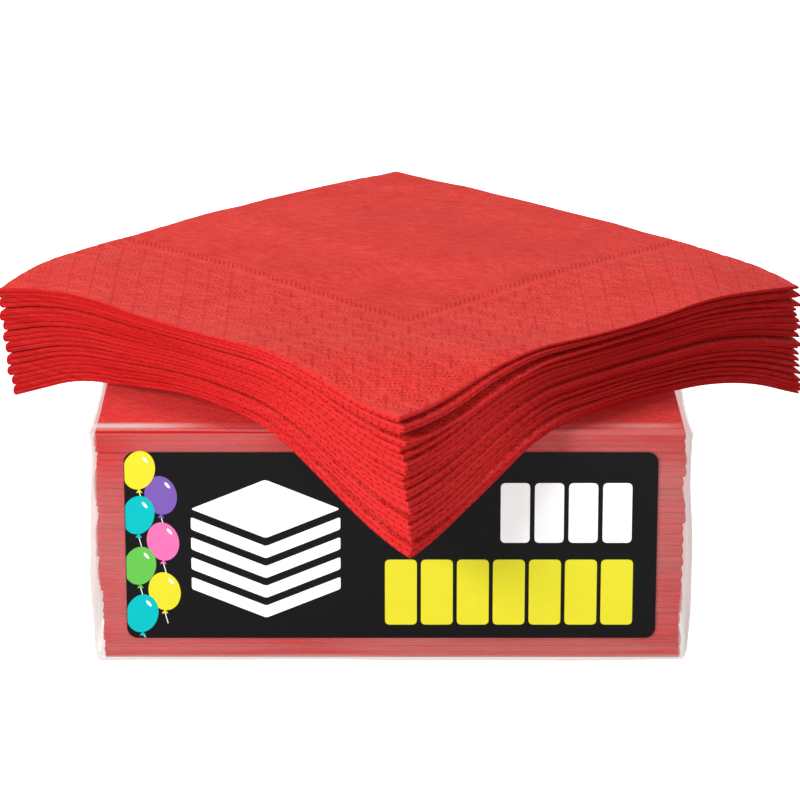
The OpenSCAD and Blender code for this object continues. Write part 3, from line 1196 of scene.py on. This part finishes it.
def make_materials():
    # The top sheet's tissue is a lighter copy with sheen, painted light; the lower loose leaves take a
    # darker copy without sheen, painted shade between them; the wrapped napkins take a lighter copy,
    # painted light in the loose stack's shade
    tissue_material("tissue", 0.1, linear(234, 37, 32), linear(243, 49, 43))
    tissue_material("tissue_shaded", 0.0, linear(222, 30, 30), linear(232, 40, 38))
    edge_material("tissue_edge", 1.0, linear(206, 20, 22), linear(246, 54, 54))
    edge_material("packed_edge_lit", 0.0, linear(194, 22, 24), linear(220, 38, 38))
    tissue_material("tissue_packed_lit", 0.0, linear(228, 26, 25), linear(237, 35, 32))
    # The wrapped napkins and their edges glow: painted light
    for name in ("tissue_packed_lit", "packed_edge_lit"):
        shader = MATERIALS[name].node_tree.nodes["Principled BSDF"]
        shader.inputs["Emission Color"].default_value = linear(214, 14, 16)
        shader.inputs["Emission Strength"].default_value = PACKED_TISSUE_GLOW
    film_material()
    for name, colour in INKS.items():
        print_material(name, linear(*colour))


# ---- Stage ----

# The camera: how steeply it looks down, its distance, its lens in millimetres, and how far above
# and to the right of the middle of the block's top front edge it aims
VIEW_ELEVATION = math.radians(16.3)
VIEW_DISTANCE = 1.018
LENS = 164.3
AIM_UP = 8.4 * MM
AIM_RIGHT = 2.5 * MM
# How bright the floor and the room are: the room once for the light it gives and once as it looks
FLOOR_GLOW = 0.85
ROOM_LIGHT = 0.22
ROOM_WHITE = 1.1
# Each lamp's place, size across and power; all of them aim at the middle of the block's top
LAMPS = {
    "key": ((-0.95, -0.98, 0.66), 0.5, 14.0),
    "top": ((-0.2, 0.5, 1.3), 0.7, 7.6),
    "fill": ((0.3, -1.4, 0.35), 0.9, 3.6),
    "back": ((0.9, 1.2, 0.5), 0.9, 4.0),
}


def make_floor():
    """A white floor, kept pale for the camera and greyer for the light it sends back up."""
    size = 6.0
    points = [(-size, -size, 0), (size, -size, 0), (size, size, 0), (-size, size, 0)]
    floor = new_mesh("floor", points, [(0, 1, 2, 3)])
    floor.location.z = -0.02 * MM
    g = Graph("floor")
    seen = g.value("ShaderNodeLightPath", "Is Camera Ray")
    colour = g.mix_colour(seen, (0.72, 0.72, 0.72, 1), (0.93, 0.93, 0.93, 1))
    g.finish(
        Base_Color=colour,
        Roughness=0.9,
        Specular_IOR_Level=0.1,
        Emission_Color=(1, 1, 1, 1),
        Emission_Strength=seen * FLOOR_GLOW,
    )
    floor.data.materials.append(MATERIALS["floor"])


def make_world():
    world = bpy.data.worlds.new("studio")
    world.use_nodes = True
    tree = world.node_tree
    background = tree.nodes["Background"]
    background.inputs["Color"].default_value = (1, 1, 1, 1)
    path = tree.nodes.new("ShaderNodeLightPath")
    strength = tree.nodes.new("ShaderNodeMapRange")
    strength.inputs["To Min"].default_value = ROOM_LIGHT
    strength.inputs["To Max"].default_value = ROOM_WHITE
    tree.links.new(path.outputs["Is Camera Ray"], strength.inputs["Value"])
    tree.links.new(strength.outputs["Result"], background.inputs["Strength"])
    bpy.context.scene.world = world


def make_lamp(name, place, size, power):
    light = bpy.data.lights.new(name, "AREA")
    light.shape = "DISK"
    light.size = size
    light.energy = power
    obj = bpy.data.objects.new(name, light)
    obj.location = place
    aim = Vector((0, 0, STACK_BASE)) - Vector(place)
    obj.rotation_euler = aim.to_track_quat("-Z", "Y").to_euler()
    bpy.context.scene.collection.objects.link(obj)


def make_camera():
    camera = bpy.data.cameras.new("camera")
    camera.lens = LENS
    camera.sensor_width = 36
    obj = bpy.data.objects.new("camera", camera)
    forward = Vector((0, math.cos(VIEW_ELEVATION), -math.sin(VIEW_ELEVATION)))
    up = Vector((0, math.sin(VIEW_ELEVATION), math.cos(VIEW_ELEVATION)))
    front_edge = Vector((AIM_RIGHT, BLOCK_LO.y, FILM_HI.z))
    obj.location = front_edge + up * AIM_UP - forward * VIEW_DISTANCE
    obj.rotation_euler = (math.pi / 2 - VIEW_ELEVATION, 0, 0)
    bpy.context.scene.collection.objects.link(obj)
    bpy.context.scene.camera = obj


def make_stage():
    bpy.context.scene.view_settings.view_transform = "Standard"
    make_world()
    make_floor()
    for name, lamp in LAMPS.items():
        make_lamp(name, *lamp)
    make_camera()


make_materials()
make_pack_napkins()
make_film()
make_label()
make_loose_stack()
make_stage()
